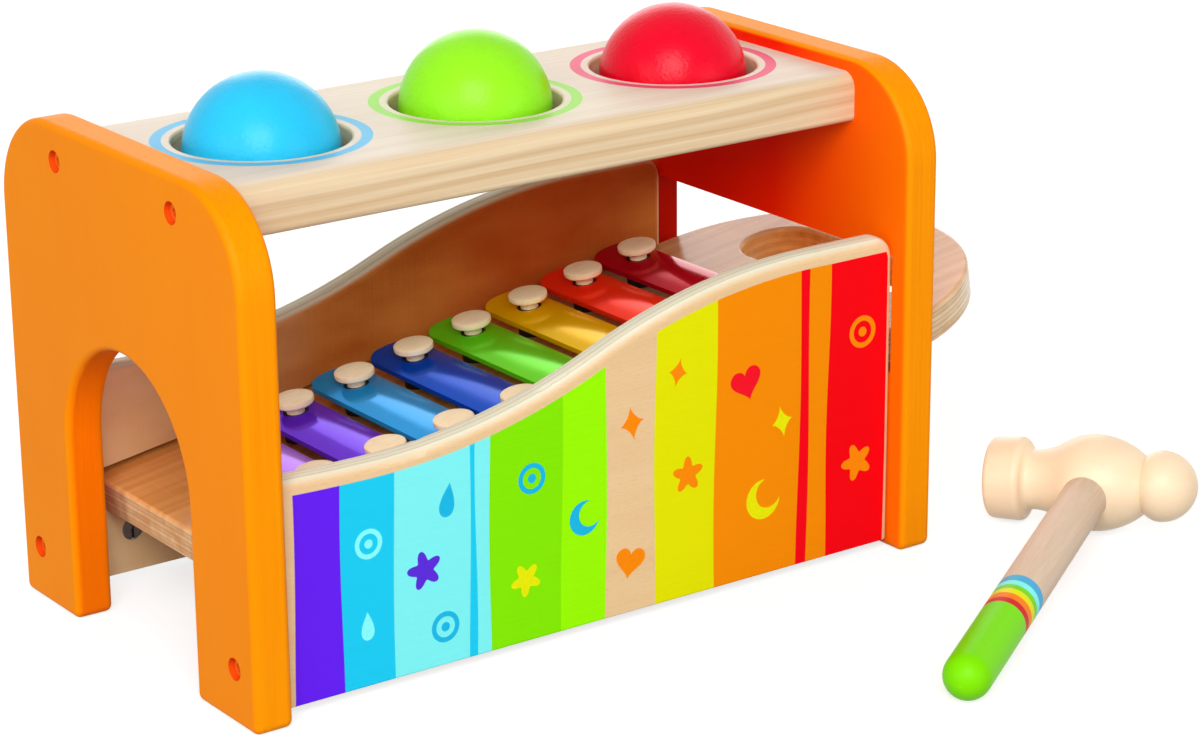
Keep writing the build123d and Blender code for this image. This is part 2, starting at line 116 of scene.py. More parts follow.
class Finish:
    """A procedural material made step by step. Every place and size in it is in millimetres."""

    def __init__(self, name, **shader_values):
        self.material = bpy.data.materials.new(name)
        self.material.use_nodes = True
        self.tree = self.material.node_tree
        self.shader = self.tree.nodes["Principled BSDF"]
        self.normal = None
        for socket, value in shader_values.items():
            self.shader.inputs[socket.replace("_", " ").title().replace("Ior", "IOR")].default_value = value
        self.coordinates = self.tree.nodes.new("ShaderNodeTexCoord")
        metres = self.coordinates.outputs["Object"]
        self.place = self.node("ShaderNodeVectorMath", {0: metres, "Scale": PER_METRE}, operation="SCALE")
        self.x, self.y, self.z = self.axes(self.place)

    def node(self, kind, inputs, output=0, **settings):
        """Adds one node and returns the socket that it gives."""
        made = self.tree.nodes.new(kind)
        for setting, value in settings.items():
            setattr(made, setting, value)
        for socket, value in inputs.items():
            if isinstance(value, bpy.types.NodeSocket):
                self.tree.links.new(value, made.inputs[socket])
            else:
                made.inputs[socket].default_value = value
        return made.outputs[output]

    def axes(self, vector):
        """The three parts of a vector."""
        parts = self.tree.nodes.new("ShaderNodeSeparateXYZ")
        self.tree.links.new(vector, parts.inputs[0])
        return parts.outputs[:3]

    def math(self, operation, a, b=0.0):
        """The result of one operation on two values, or on the first alone."""
        return self.node("ShaderNodeMath", {0: a, 1: b}, operation=operation)

    def add(self, a, b):
        """The sum of two values."""
        return self.math("ADD", a, b)

    def subtract(self, a, b):
        """What is left of one value without another."""
        return self.math("SUBTRACT", a, b)

    def rest(self, share):
        """What a share leaves of 1."""
        return self.subtract(1.0, share)

    def times(self, product, *others):
        """The product of two values or more."""
        for other in others:
            product = self.math("MULTIPLY", product, other)
        return product

    def over(self, a, b):
        """One value divided by another."""
        return self.math("DIVIDE", a, b)

    def weighted(self, first, *others):
        """The sum of values, each given together with its weight, or with two that are multiplied."""
        total = self.times(*first)
        for other in others:
            total = self.add(total, self.times(*other))
        return total

    def along(self, direction, origin=(0, 0, 0)):
        """The distance of a point from the origin, measured along a direction."""
        offset = self.node("ShaderNodeVectorMath", {0: self.place, 1: origin}, operation="SUBTRACT")
        inputs = {0: offset, 1: direction}
        return self.node("ShaderNodeVectorMath", inputs, output="Value", operation="DOT_PRODUCT")

    def across(self, a, b, centre=(0, 0)):
        """The distance of a point from a centre, in the plane of two of its parts."""
        first = self.subtract(a, centre[0])
        second = self.subtract(b, centre[1])
        return self.math("SQRT", self.add(self.times(first, first), self.times(second, second)))

    def noise(self, sizes, detail=2.0, parts=None):
        """Soft noise, around a half, with features of these sizes along the axes or along other parts."""
        places = parts or (self.x, self.y, self.z)
        scaled = {i: self.over(place, size) for i, (place, size) in enumerate(zip(places, sizes))}
        vector = self.node("ShaderNodeCombineXYZ", scaled)
        inputs = {"Vector": vector, "Scale": 1.0, "Detail": detail}
        return self.node("ShaderNodeTexNoise", inputs, noise_dimensions="3D")

    def step(self, value, edge, soft=0.15):
        """0 below an edge and 1 above it, with a soft change between them."""
        inputs = {"Value": value, "From Min": edge - soft / 2, "From Max": edge + soft / 2}
        return self.node("ShaderNodeMapRange", inputs, interpolation_type="LINEAR", clamp=True)

    def below(self, value, edge, soft=0.15):
        """1 below an edge and 0 above it, with a soft change between them."""
        return self.rest(self.step(value, edge, soft))

    def band(self, value, low, high, soft=0.15):
        """1 between two edges and 0 outside them."""
        return self.subtract(self.step(value, low, soft), self.step(value, high, soft))

    def mix(self, share, a, b):
        """A colour between two others."""
        inputs = {MIX_SHARE: share, MIX_A: a, MIX_B: b}
        return self.node("ShaderNodeMix", inputs, output=MIX_RESULT, data_type="RGBA", clamp_factor=True)

    def curve(self, share, points):
        """A smooth curve through points, read at a share of its length."""
        made = self.tree.nodes.new("ShaderNodeFloatCurve")
        line = made.mapping.curves[0]
        line.points[0].location = points[0]
        line.points[1].location = points[-1]
        for point in points[1:-1]:
            line.points.new(*point)
        made.mapping.update()
        self.tree.links.new(share, made.inputs["Value"])
        return made.outputs[0]

    def facing(self, direction):
        """How far the surface faces a direction, from -1 to 1."""
        inputs = {0: self.coordinates.outputs["Normal"], 1: direction}
        return self.node("ShaderNodeVectorMath", inputs, output="Value", operation="DOT_PRODUCT")

    def turned_from(self, direction):
        """0 on a face square to a direction, and 1 on an edge that runs along it."""
        return self.rest(self.math("ABSOLUTE", self.facing(direction)))

    def bump(self, height, size):
        """Relief of a size on top of what relief there is already."""
        inputs = {"Height": height, "Distance": size * MM, "Strength": 1.0}
        if self.normal is not None:
            inputs["Normal"] = self.normal
        self.normal = self.node("ShaderNodeBump", inputs)

    def done(self, base):
        """Connects the colour and the relief to the shader and gives the material."""
        self.tree.links.new(base, self.shader.inputs["Base Color"])
        if self.normal is not None:
            self.tree.links.new(self.normal, self.shader.inputs["Normal"])
        return self.material


# Paints


def orange_paint():
    """Satin orange paint over upright grain, redder on the inner faces and in the openings as painted
    shade.
    """
    paint = Finish("orange_paint", roughness=0.45, specular_ior_level=0.05)
    clouds = paint.noise((35, 35, 60), detail=1)
    streaks = paint.noise((1.1, 1.8, 50), detail=3)
    skin = paint.noise((0.7, 0.7, 0.7))
    edge = paint.turned_from(X_AXIS)
    strength = paint.add(paint.times(edge, 0.7), 0.15)
    tone = paint.weighted((clouds, 0.4), (streaks, strength))
    outer = paint.mix(tone, colour("F28600"), colour("FC9C02"))
    is_right = paint.step(paint.x, 0.0)
    left_or_right = paint.rest(paint.times(is_right, 2.0))
    is_inner_face = paint.step(paint.times(paint.facing(X_AXIS), left_or_right), 0.85, 0.2)
    # Painted shade: a redder orange on the ball arch's jambs and crown.
    base = paint.mix(in_arch(paint, edge), outer, colour("F87300"))
    # Painted shade on the end panels' inner faces.
    base = paint.mix(is_inner_face, base, inner_orange_painted_shade(paint, tone))
    # Painted shade: dark red on the xylophone window's jambs.
    base = paint.mix(paint.times(in_window(paint, edge), is_right), base, colour("C81400"))
    # Painted shade in the bolt holes.
    base = bolt_holes_painted_shade(paint, base)
    paint.bump(paint.times(streaks, edge), 0.12)
    paint.bump(skin, 0.015)
    return paint.done(base)


def inner_orange_painted_shade(paint, tone):
    """The end panels' inner faces, orange in front and redder beyond as painted shade."""
    depth_share = paint.over(paint.subtract(paint.y, panel_low.y), panel_high.y - panel_low.y)
    # Painted shade: redder deeper into the bench, away from its open front.
    reddened = paint.subtract(paint.step(depth_share, 0.22, 0.5), paint.step(depth_share, 0.93, 0.05))
    redness = paint.add(reddened, paint.times(paint.subtract(tone, 0.5), 0.2))
    return paint.mix(redness, colour("FF7400"), colour("F41200"))


def in_arch(paint, edge):
    """1 on the jambs and the crown of the ball arch."""
    leg_face_width = 31.7
    arch_height = 91.5
    between_legs = paint.band(paint.y, panel_low.y + leg_face_width, panel_high.y - leg_face_width, 0.5)
    return paint.times(between_legs, paint.below(paint.z, arch_height, 0.5), edge)


def in_window(paint, edge):
    """1 on the jambs of the xylophone's window, where its panel has edges."""
    side_reach = 2.9
    window_top = 93.5
    beside_board = paint.band(paint.y, board_low.y - side_reach, board_high.y + side_reach)
    return paint.times(beside_board, paint.below(paint.z, window_top), edge)


def bolt_holes_painted_shade(paint, base):
    """Painted shade: a redder, darker colour in each hole over a bolt's head."""
    head_radius = 3.0
    hole_radius = 3.3
    for node in ("plank_bolts", "wall_bolts"):
        bolts_low, bolts_high = box(node)
        for row in (bolts_low.y + head_radius, bolts_high.y - head_radius):
            distance = paint.across(paint.y, paint.z, (row, (bolts_low.z + bolts_high.z) / 2))
            base = paint.mix(paint.step(distance, hole_radius), colour("E8500C"), base)
    return base


def ball_paint(name, code):
    """Satin paint on a turned ball, with a fine pebbled skin."""
    paint = Finish(name, roughness=0.28, specular_ior_level=0.15)
    clouds = paint.noise((12, 12, 12))
    pebbles = paint.noise((1.2, 1.2, 1.2), detail=3)
    tone = paint.weighted((clouds, 0.6), (pebbles, 0.4))
    base = paint.mix(tone, colour(code, 0.85), colour(code, 1.08))
    paint.bump(pebbles, 0.15)
    return paint.done(base)


def bar_enamel(name, code):
    """Glossy enamel over a metal bar, a little thinner in places."""
    enamel = Finish(name, roughness=0.13, specular_ior_level=0.05, metallic=0.3)
    flow = enamel.noise((9, 16, 9), detail=1)
    specks = enamel.noise((0.5, 0.5, 0.5), detail=1)
    tone = enamel.weighted((flow, 0.8), (specks, 0.2))
    base = enamel.mix(tone, colour(code, 0.85), colour(code, 1.1))
    enamel.bump(flow, 0.03)
    enamel.bump(specks, 0.002)
    return enamel.done(base)


def ink(name, code):
    """Screen-printed ink with a faint mottle."""
    print_ink = Finish(name, roughness=0.5, specular_ior_level=0.1)
    mottle = print_ink.noise((0.8, 0.8, 0.8))
    print_ink.bump(mottle, 0.01)
    return print_ink.done(print_ink.mix(mottle, colour(code, 0.9), colour(code, 1.1)))


# Woods


def growth_rings(wood, pith):
    """The darkness of growth rings around a pith line that runs along X."""
    wander = 2.5
    ring_width = 1.9
    change_length = 400
    sway = wood.noise((120, 30, 30), detail=1)
    radius = wood.across(wood.y, wood.z, pith)
    wandering = wood.add(radius, wood.times(wood.subtract(sway, 0.5), 2 * wander))
    slow = wood.over(wood.x, change_length)
    rings = wood.noise((ring_width, 1, 1), detail=1.5, parts=(wandering, slow, slow))
    return wood.step(rings, 0.56, 0.3)


def plank_timber():
    """Pale solid wood with tan growth bands, a top face painted paler and greyer as a sheen, and a painted
    ring round each ball hole.
    """
    pith_behind = 22
    pith_below = 110
    wood = Finish("plank_timber", roughness=0.45, specular_ior_level=0.12)
    pith = ((plank_low.y + plank_high.y) / 2 + pith_behind, plank_low.z - pith_below)
    rings = growth_rings(wood, pith)
    fibres = wood.noise((60, 0.45, 0.45), detail=3)
    top = wood.step(wood.facing(Z_AXIS), 0.9, 0.2)
    strength = wood.rest(wood.times(top, 0.6))
    tone = wood.weighted((rings, 0.5, strength), (fibres, 0.5))
    # Painted sheen: the top face is paler and greyer than the edges.
    pale = wood.mix(top, colour("EADABA"), colour("F0E6D8"))
    tan = wood.mix(top, colour("C49C6A"), colour("CDB498"))
    base = painted_rings(wood, wood.mix(tone, pale, tan))
    wood.bump(wood.add(fibres, wood.times(rings, 0.5)), 0.03)
    return wood.done(base)


def painted_rings(wood, bare):
    """A painted ring on the plank's top round each ball hole, in its ball's colour."""
    ring_inner = 27.9
    ring_outer = 31.2
    ring_depth = 0.4
    base = bare
    on_top = wood.step(wood.z, plank_high.z - ring_depth, 0.3)
    for centre, code in zip(ball_centres, ("62C0EC", "9CE052", "EA5078")):
        distance = wood.across(wood.x, wood.y, (centre.x, centre.y))
        ring_paint = wood.band(distance, ring_inner, ring_outer)
        base = wood.mix(wood.times(ring_paint, on_top), base, colour(code))
    return base


def plywood_tones(wood, depth, along, across, thickness, ply_count):
    """At a depth in plywood: whether its ply lies crosswise, the glue lines and the fibres."""
    face = 0.45
    margin = 0.01
    glue_share = 0.1
    layer = wood.over(wood.add(depth, margin), thickness / ply_count)
    index = wood.math("FLOOR", layer)
    part = wood.math("FRACT", layer)
    crosswise = wood.math("MODULO", wood.add(index, 2.0), 2.0)
    inside = wood.band(depth, face, thickness - face, 0.3)
    glue = wood.times(wood.rest(wood.band(part, glue_share, 1 - glue_share, 0.14)), inside)
    parts = (along, across, depth)
    long_fibres = wood.noise((30, 0.45, 0.45), detail=3, parts=parts)
    cross_fibres = wood.noise((0.45, 30, 0.45), detail=3, parts=parts)
    fibres = wood.weighted((long_fibres, wood.rest(crosswise)), (cross_fibres, crosswise))
    return crosswise, glue, fibres


def wall_plywood(name, face_y, inward, printed):
    """A side wall of plywood: pale veneer outside, warmer inside as painted shade, plies along its edges,
    and rims painted paler as a highlight.
    """
    ply_count = 5
    wood = Finish(name, roughness=0.5, specular_ior_level=0.06)
    depth = wood.times(wood.subtract(wood.y, face_y), inward)
    crosswise, glue, fibres = plywood_tones(wood, depth, wood.x, wood.z, wall_thickness, ply_count)
    figure = wood.noise((70, 9, 9))
    flecks = wood.step(wood.noise((2.6, 0.3, 0.3), detail=1), 0.62, 0.12)
    tone = wood.weighted((fibres, 0.25), (figure, 0.35), (flecks, 0.12), (crosswise, 0.12))
    edge = wood.below(wood.math("ABSOLUTE", wood.facing(Y_AXIS)), 0.8, 0.35)
    # Painted highlight: the rims and edges are paler and greyer than the faces.
    pale = wood.mix(edge, colour("F4D6AA"), colour("EAF0E0"))
    deep = wood.mix(edge, colour("CF9F68"), colour("DACCA8"))
    base = wood.mix(tone, pale, deep)
    base = wood.mix(wood.times(glue, 0.35), base, colour("A88458"))
    is_inner_face = wood.step(wood.facing(Y_AXIS * inward), 0.85, 0.2)
    # Painted shade and painted reflection on the inner face.
    base = wood.mix(is_inner_face, base, inner_face_painted_light(wood, tone))
    if printed:
        base = printed_stripes(wood, base)
    wood.bump(fibres, 0.03)
    return wood.done(base)


def inner_face_painted_light(wood, tone):
    """A side wall's inner face with painted shade: pale at its left end, then amber, and reddish towards
    its right end as a painted reflection of the orange panel.
    """
    clouds = wood.step(wood.noise((34, 34, 15)), 0.5, 0.4)
    inner_tone = wood.weighted((tone, 0.7), (clouds, 0.45))
    along_share = wood.over(wood.subtract(wood.x, wall_low.x), wall_length)
    # Painted shade: amber and darker beyond the left end.
    amber = wood.step(along_share, 0.2, 0.4)
    pale = wood.mix(amber, colour("FFF0C4"), colour("EEA04C"))
    deep = wood.mix(amber, colour("F2C890"), colour("AC4C0C"))
    # Painted reflection of the orange right panel: reddish towards the right end.
    reddened = wood.times(wood.band(along_share, 0.6, 0.93, 0.25), 0.55)
    return wood.mix(reddened, wood.mix(inner_tone, pale, deep), colour("B83C04"))


# Where each stripe begins along the front wall, as a share of its length, and its colour
STRIPE_START_SHARES = (
    (0.0, "6620FA"),
    (0.092, "1CD0FA"),
    (0.171, "80F8FC"),
    (0.2865, "1CD0FA"),
    (0.2965, "80F8FC"),
    (0.3185, "86EE00"),
    (0.4325, "9CFF00"),
    (0.504, "9CFF00"),
    (0.585, "E8EA00"),
    (0.687, "FA9000"),
    (0.8325, "FA0016"),
    (0.8485, "FA9000"),
    (0.883, "FA0010"),
)
BARE_STRIPE = 7

# The print's left border sways as the stripe with its number does, and its right border is straight
LEFT_BORDER_SHARE = 0.0215
LEFT_BORDER_NUMBER = 3
RIGHT_BORDER_SHARE = 0.989


def printed_stripes(wood, bare):
    """Stripes over the flat outer face, with bare wood between two of them and round the print."""
    edge_softness = 0.2
    soft_share = edge_softness / wall_length
    share = wood.over(wood.subtract(wood.x, wall_low.x), wall_length)
    leaning = leaning_share(wood, share)
    stripes = colour(STRIPE_START_SHARES[0][1])
    begun = {}
    for number, (start_share, code) in enumerate(STRIPE_START_SHARES[1:], 1):
        past_start = wood.subtract(leaning, swaying_edge(wood, start_share, number))
        begun[number] = wood.step(past_start, 0.0, soft_share)
        stripes = wood.mix(begun[number], stripes, colour(code))
    mottle = wood.noise((0.8, 0.8, 0.8))
    grain = wood.noise((16, 0.5, 0.5))
    shade = wood.weighted((mottle, 0.03), (grain, 0.05))
    stripes = wood.mix(shade, stripes, colour("100800"))
    left_border = swaying_edge(wood, LEFT_BORDER_SHARE, LEFT_BORDER_NUMBER)
    inside_left = wood.step(wood.subtract(leaning, left_border), 0.0, soft_share)
    outside_right = wood.step(leaning, RIGHT_BORDER_SHARE, soft_share)
    within = wood.subtract(inside_left, outside_right)
    inked = wood.rest(wood.subtract(begun[BARE_STRIPE], begun[BARE_STRIPE + 1]))
    return wood.mix(wood.times(within, on_printed_face(wood, share), inked), bare, stripes)


def leaning_share(wood, share):
    """A share of the wall's length that leans with height, so that the stripes do."""
    lean_share = 0.006
    upright_at_share = 0.4
    height_share = wood.over(wood.z, wall_high.z)
    return wood.subtract(share, wood.times(wood.subtract(height_share, upright_at_share), lean_share))


def swaying_edge(wood, share, number):
    """A stripe's edge, which sways slightly with height, as a share of the wall's length."""
    sway = 0.4
    shortest_wave = 85.0
    wave_growth = 9.0
    wave_kinds = 4
    phase_step = 1.7
    wave_length = shortest_wave + wave_growth * (number % wave_kinds)
    wave = wood.math("SINE", wood.add(wood.times(wood.z, ALL_ROUND / wave_length), phase_step * number))
    return wood.add(wood.times(wave, sway / wall_length), share)


def on_printed_face(wood, share):
    """1 on the front wall's flat outer face below its bare rim, and round its foot."""
    rim = 1.6
    foot = 1.0
    curve_points = 12
    top = wood.subtract(wood.times(wood.curve(share, flat_top_points(curve_points)), wall_high.z), rim)
    below_top = wood.step(wood.subtract(top, wood.z), 0.0, 0.2)
    facing_out = wood.facing(-Y_AXIS)
    flat = wood.step(facing_out, 0.985, 0.01)
    rounded_foot = wood.times(wood.below(wood.z, wall_low.z + foot, 0.1), wood.step(facing_out, 0.4, 0.1))
    return wood.times(below_top, wood.math("MAXIMUM", flat, rounded_foot))


def flat_top_points(count):
    """The top of the front wall's flat outer face, level past the corner, as shares of the wall's size."""
    corner_share = 0.95
    slack = 0.01
    corners = [vertex.co * PER_METRE for vertex in nodes["front_wall"].data.vertices]
    tops = sorted(
        (corner.x, corner.z)
        for corner in corners
        if corner.y < wall_low.y + slack and corner.z > wall_high.z / 2
    )
    points = []
    for i in range(count):
        share = i / (count - 1)
        x = wall_low.x + min(share, corner_share) * wall_length
        before = max((top for top in tops if top[0] <= x), default=tops[0])
        after = min((top for top in tops if top[0] >= x), default=tops[-1])
        part = (x - before[0]) / max(after[0] - before[0], slack)
        points.append((share, (before[1] + (after[1] - before[1]) * part) / wall_high.z))
    return points


def board_plywood():
    """The sliding board's varnished plywood, with painted shade: more amber inside the bench and in its
    hand hole.
    """
    ply_count = 7
    amber_fade = 60.0
    wood = Finish("board_plywood", roughness=0.2, specular_ior_level=0.22)
    along = wood.along(board_direction)
    depth = wood.subtract(board_top, wood.along(board_normal))
    crosswise, glue, fibres = plywood_tones(wood, depth, along, wood.y, board_thickness, ply_count)
    figure = wood.step(wood.noise((95, 3.6, 3.6), detail=3, parts=(along, wood.y, depth)), 0.5, 0.35)
    tone = wood.weighted((fibres, 0.3), (figure, 0.4), (crosswise, 0.2))
    edge = wood.turned_from(board_normal)
    pale = wood.mix(edge, colour("EFC294"), colour("F4E2BE"))
    deep = wood.mix(edge, colour("BE8048"), colour("C49660"))
    base = wood.mix(tone, pale, deep)
    base = wood.mix(wood.times(glue, 0.45), base, colour("7A5028"))
    # The amber of the painted shade.
    amber = wood.mix(tone, colour("FFB860"), colour("C87820"))
    within_bench = wood.below(wood.x, panel_high.x - amber_fade, amber_fade)
    amber_share = wood.subtract(0.75, wood.times(edge, 0.5))
    # Painted shade inside the bench.
    base = wood.mix(wood.times(within_bench, amber_share), base, amber)
    # Painted shade round the hand hole.
    base = wood.mix(wood.times(at_hand_hole(wood, along), edge, 0.8), base, amber)
    wood.bump(fibres, 0.03)
    return wood.done(base)


def at_hand_hole(wood, along):
    """1 in a box round the board's hand hole."""
    hole_to_tip = 39.5
    half_width = 13.6
    half_length = 37.4
    middle_y = (board_low.y + board_high.y) / 2
    hole_place = reach("xylophone_board", board_direction) - hole_to_tip
    beside_hole = wood.band(along, hole_place - half_width, hole_place + half_width)
    return wood.times(beside_hole, wood.band(wood.y, middle_y - half_length, middle_y + half_length))


def peg_timber():
    """Pale turned wood with soft grain across each head."""
    wood = Finish("peg_timber", roughness=0.5, specular_ior_level=0.2)
    bands = wood.noise((5, 1.6, 14), detail=1)
    fibres = wood.noise((0.4, 0.4, 6))
    tone = wood.weighted((wood.step(bands, 0.52, 0.3), 0.3), (fibres, 0.25))
    base = wood.mix(tone, colour("FFF0CA"), colour("F0D2A0"))
    wood.bump(fibres, 0.02)
    return wood.done(base)


def head_timber():
    """The hammer head's cream wood with a satin lacquer."""
    wood = Finish("head_timber", roughness=0.34, specular_ior_level=0.25)
    parts = (wood.along(head_direction, hammer_centre), wood.y, wood.z)
    fibres = wood.noise((26, 1.1, 1.1), parts=parts)
    figure = wood.noise((50, 7, 7), detail=1, parts=parts)
    tone = wood.weighted((fibres, 0.25), (figure, 0.45))
    base = wood.mix(tone, colour("FAE6C8"), colour("F2D2A8"))
    wood.bump(fibres, 0.02)
    return wood.done(base)


def handle_timber():
    """The handle's plain dowel, with thin painted rings and a painted grip at its end."""
    wood = Finish("handle_timber", roughness=0.42, specular_ior_level=0.1)
    along = wood.along(handle_direction, hammer_centre)
    parts = (along, wood.along(head_direction, hammer_centre), wood.z)
    fibres = wood.noise((28, 0.55, 0.55), parts=parts)
    figure = wood.noise((60, 3, 3), detail=1, parts=parts)
    tone = wood.weighted((fibres, 0.5), (figure, 0.4))
    base = wood.mix(tone, colour("EAD6C0"), colour("C6A88C"))
    paint_starts = (
        (87.5, "46B0E0"),
        (91.3, "84F8F8"),
        (94.2, "78D800"),
        (96.8, "E6E800"),
        (99.8, "FA8200"),
        (103.0, "D01422"),
        (106.0, "7CE000"),
    )
    for start, code in paint_starts:
        base = wood.mix(wood.step(along, start, 0.3), base, colour(code))
    wood.bump(fibres, 0.02)
    return wood.done(base)


# Metal and rubber


def bolt_finish():
    """Steel bolts whose heads are lacquered over with the panels' orange."""
    head_depth = 4.9
    steel = Finish("bolt_finish", roughness=0.4, specular_ior_level=0.2)
    from_left = steel.subtract(steel.x, panel_low.x)
    from_right = steel.subtract(panel_high.x, steel.x)
    inside = steel.step(steel.math("MINIMUM", from_left, from_right), head_depth, 0.2)
    scratches = steel.noise((6, 0.4, 0.4))
    lacquer = steel.mix(scratches, colour("E45410"), colour("F4741C"))
    bare = steel.mix(scratches, colour("6E6A66"), colour("8E8A86"))
    steel.tree.links.new(inside, steel.shader.inputs["Metallic"])
    steel.bump(scratches, 0.02)
    return steel.done(steel.mix(inside, lacquer, bare))


def nut_finish():
    """Dark blackened steel with turning marks."""
    steel = Finish("nut_finish", roughness=0.42, metallic=0.85)
    marks = steel.noise((0.5, 2.0, 0.5))
    steel.bump(marks, 0.02)
    return steel.done(steel.mix(marks, colour("3A302C"), colour("6A5A52")))


def rubber_finish(name, code):
    """Matt moulded rubber."""
    rubber = Finish(name, roughness=0.7, specular_ior_level=0.3)
    grain = rubber.noise((0.6, 0.6, 0.6))
    rubber.bump(grain, 0.03)
    return rubber.done(rubber.mix(grain, colour(code), colour("262424")))


def dress(node, material):
    """Gives a CAD node its material."""
    for slot in nodes[node].material_slots:
        slot.material = material


def dress_bench():
    """The panels, the plank, the walls and what fastens them."""
    orange = orange_paint()
    dress("left_end_panel", orange)
    dress("right_end_panel", orange)
    dress("pounding_plank", plank_timber())
    dress("front_wall", wall_plywood("front_wall_plywood", wall_low.y, 1.0, printed=True))
    dress("rear_wall", wall_plywood("rear_wall_plywood", rear_wall_high.y, -1.0, printed=False))
    bolt = bolt_finish()
    dress("plank_bolts", bolt)
    dress("wall_bolts", bolt)
    nut = nut_finish()
    dress("plank_barrel_nuts", nut)
    dress("wall_barrel_nuts", nut)


def dress_xylophone():
    """The sliding board and its bars, pegs and grommets."""
    bar_codes = ("B070F0", "6C2CE0", "2AA0E8", "0A4CC4", "6CDC1C", "F0BE02", "FF3414", "B80A20")
    peg = peg_timber()
    grommet = rubber_finish("grommet_rubber_black", "141212")
    dress("xylophone_board", board_plywood())
    for number, code in enumerate(bar_codes, 1):
        dress(f"tone_bar_{number}", bar_enamel(f"tone_bar_{number}_enamel", code))
        for row in ("front", "rear"):
            dress(f"{row}_peg_{number}", peg)
            dress(f"{row}_grommet_{number}", grommet)


def dress_balls_and_hammer():
    """The balls, the rubber rings that hold them, and the hammer."""
    ring_rubber = rubber_finish("ball_ring_rubber", "1C1A1A")
    for name, code in zip(ball_names, ("28C4F6", "94F020", "EA0028")):
        dress(name, ball_paint(name + "_paint", code))
        dress(name + "_ring", ring_rubber)
    dress("hammer_head", head_timber())
    dress("hammer_handle", handle_timber())


# Figures printed on the front wall, each of size 1 and made of strips between two lines of points
FIGURE_POINTS = 60


def round_points(outline, scale=1.0):
    """Points all round an outline, which a function of the angle gives."""
    angles = [ALL_ROUND * i / FIGURE_POINTS for i in range(FIGURE_POINTS)]
    return [Vector(outline(angle)) * scale for angle in angles]


def filled(outline, scale=1.0):
    """A closed strip from the middle to an outline."""
    return round_points(outline, 0.0), round_points(outline, scale), True


def circle(angle):
    """A round outline."""
    return sin(angle), cos(angle)


def flower():
    """Five round petals."""
    petal_count = 5
    petal_share = 0.24

    def petals(angle):
        radius = 1 - petal_share + petal_share * cos(petal_count * angle)
        return radius * sin(angle), radius * cos(angle)

    return [filled(petals)]


def heart():
    """A heart with its point down."""
    wave_shares = (0.81, -0.31, -0.12, -0.06)

    def sides(angle):
        height = sum(share * cos(turns * angle) for turns, share in enumerate(wave_shares, 1))
        return sin(angle) ** 3, height

    return [filled(sides)]


def diamond():
    """Four points with hollow sides."""
    width_share = 0.8

    def sides(angle):
        return width_share * sin(angle) ** 3, cos(angle) ** 3

    return [filled(sides)]


def drop():
    """A falling drop with its point up."""
    width_share = 0.68
    taper = 1.3

    def sides(angle):
        return width_share * sin(angle) * abs(sin(angle / 2)) ** taper, cos(angle)

    return [filled(sides)]


def ring():
    """A ring round a dot."""
    inner_share = 0.68
    dot_share = 0.3
    return [(round_points(circle, inner_share), round_points(circle), True), filled(circle, dot_share)]


def crescent():
    """A crescent between two arcs that share their tips."""
    tip_angle = 0.75
    hollow_centre = 0.42
    tip = Vector(circle(tip_angle))
    hollow_radius = (tip - Vector((0, hollow_centre))).length
    hollow_tip_angle = pi / 2 - atan2(tip.y - hollow_centre, tip.x)
    outer = []
    hollow = []
    for i in range(FIGURE_POINTS):
        share = i / (FIGURE_POINTS - 1)
        outer.append(Vector(circle(tip_angle + share * (ALL_ROUND - 2 * tip_angle))))
        hollow_angle = hollow_tip_angle + share * (ALL_ROUND - 2 * hollow_tip_angle)
        hollow.append(Vector(circle(hollow_angle)) * hollow_radius + Vector((0, hollow_centre)))
    return [(hollow, outer, False)]


def add_figure(name, strips, place, size, turn, material):
    """Adds a figure to the front wall's outer face, as a thin closed layer of ink."""
    proud = 0.06
    sunk = 0.15
    same_place = 0.0001
    turned = Matrix.Rotation(radians(turn), 2)
    layer = bmesh.new()
    for first_line, second_line, closed in strips:
        sides = []
        for points in (first_line, second_line):
            flat = [Vector(place) + turned @ (point * size) for point in points]
            sides.append([layer.verts.new((point.x, wall_low.y - proud, point.y)) for point in flat])
        first, second = sides
        count = len(first)
        for i in range(count if closed else count - 1):
            following = (i + 1) % count
            layer.faces.new((first[i], first[following], second[following], second[i]))
    bmesh.ops.remove_doubles(layer, verts=layer.verts, dist=same_place)
    rear = bmesh.ops.extrude_face_region(layer, geom=layer.faces[:])["geom"]
    rear_corners = [part for part in rear if isinstance(part, bmesh.types.BMVert)]
    bmesh.ops.translate(layer, verts=rear_corners, vec=(0, proud + sunk, 0))
    bmesh.ops.recalc_face_normals(layer, faces=layer.faces)
    bmesh.ops.scale(layer, vec=(MM, MM, MM), verts=layer.verts)
    mesh = bpy.data.meshes.new(name)
    layer.to_mesh(mesh)
    layer.free()
    mesh.materials.append(material)
    figure = bpy.data.objects.new(name, mesh)
    bpy.context.scene.collection.objects.link(figure)
    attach(figure, "bench")


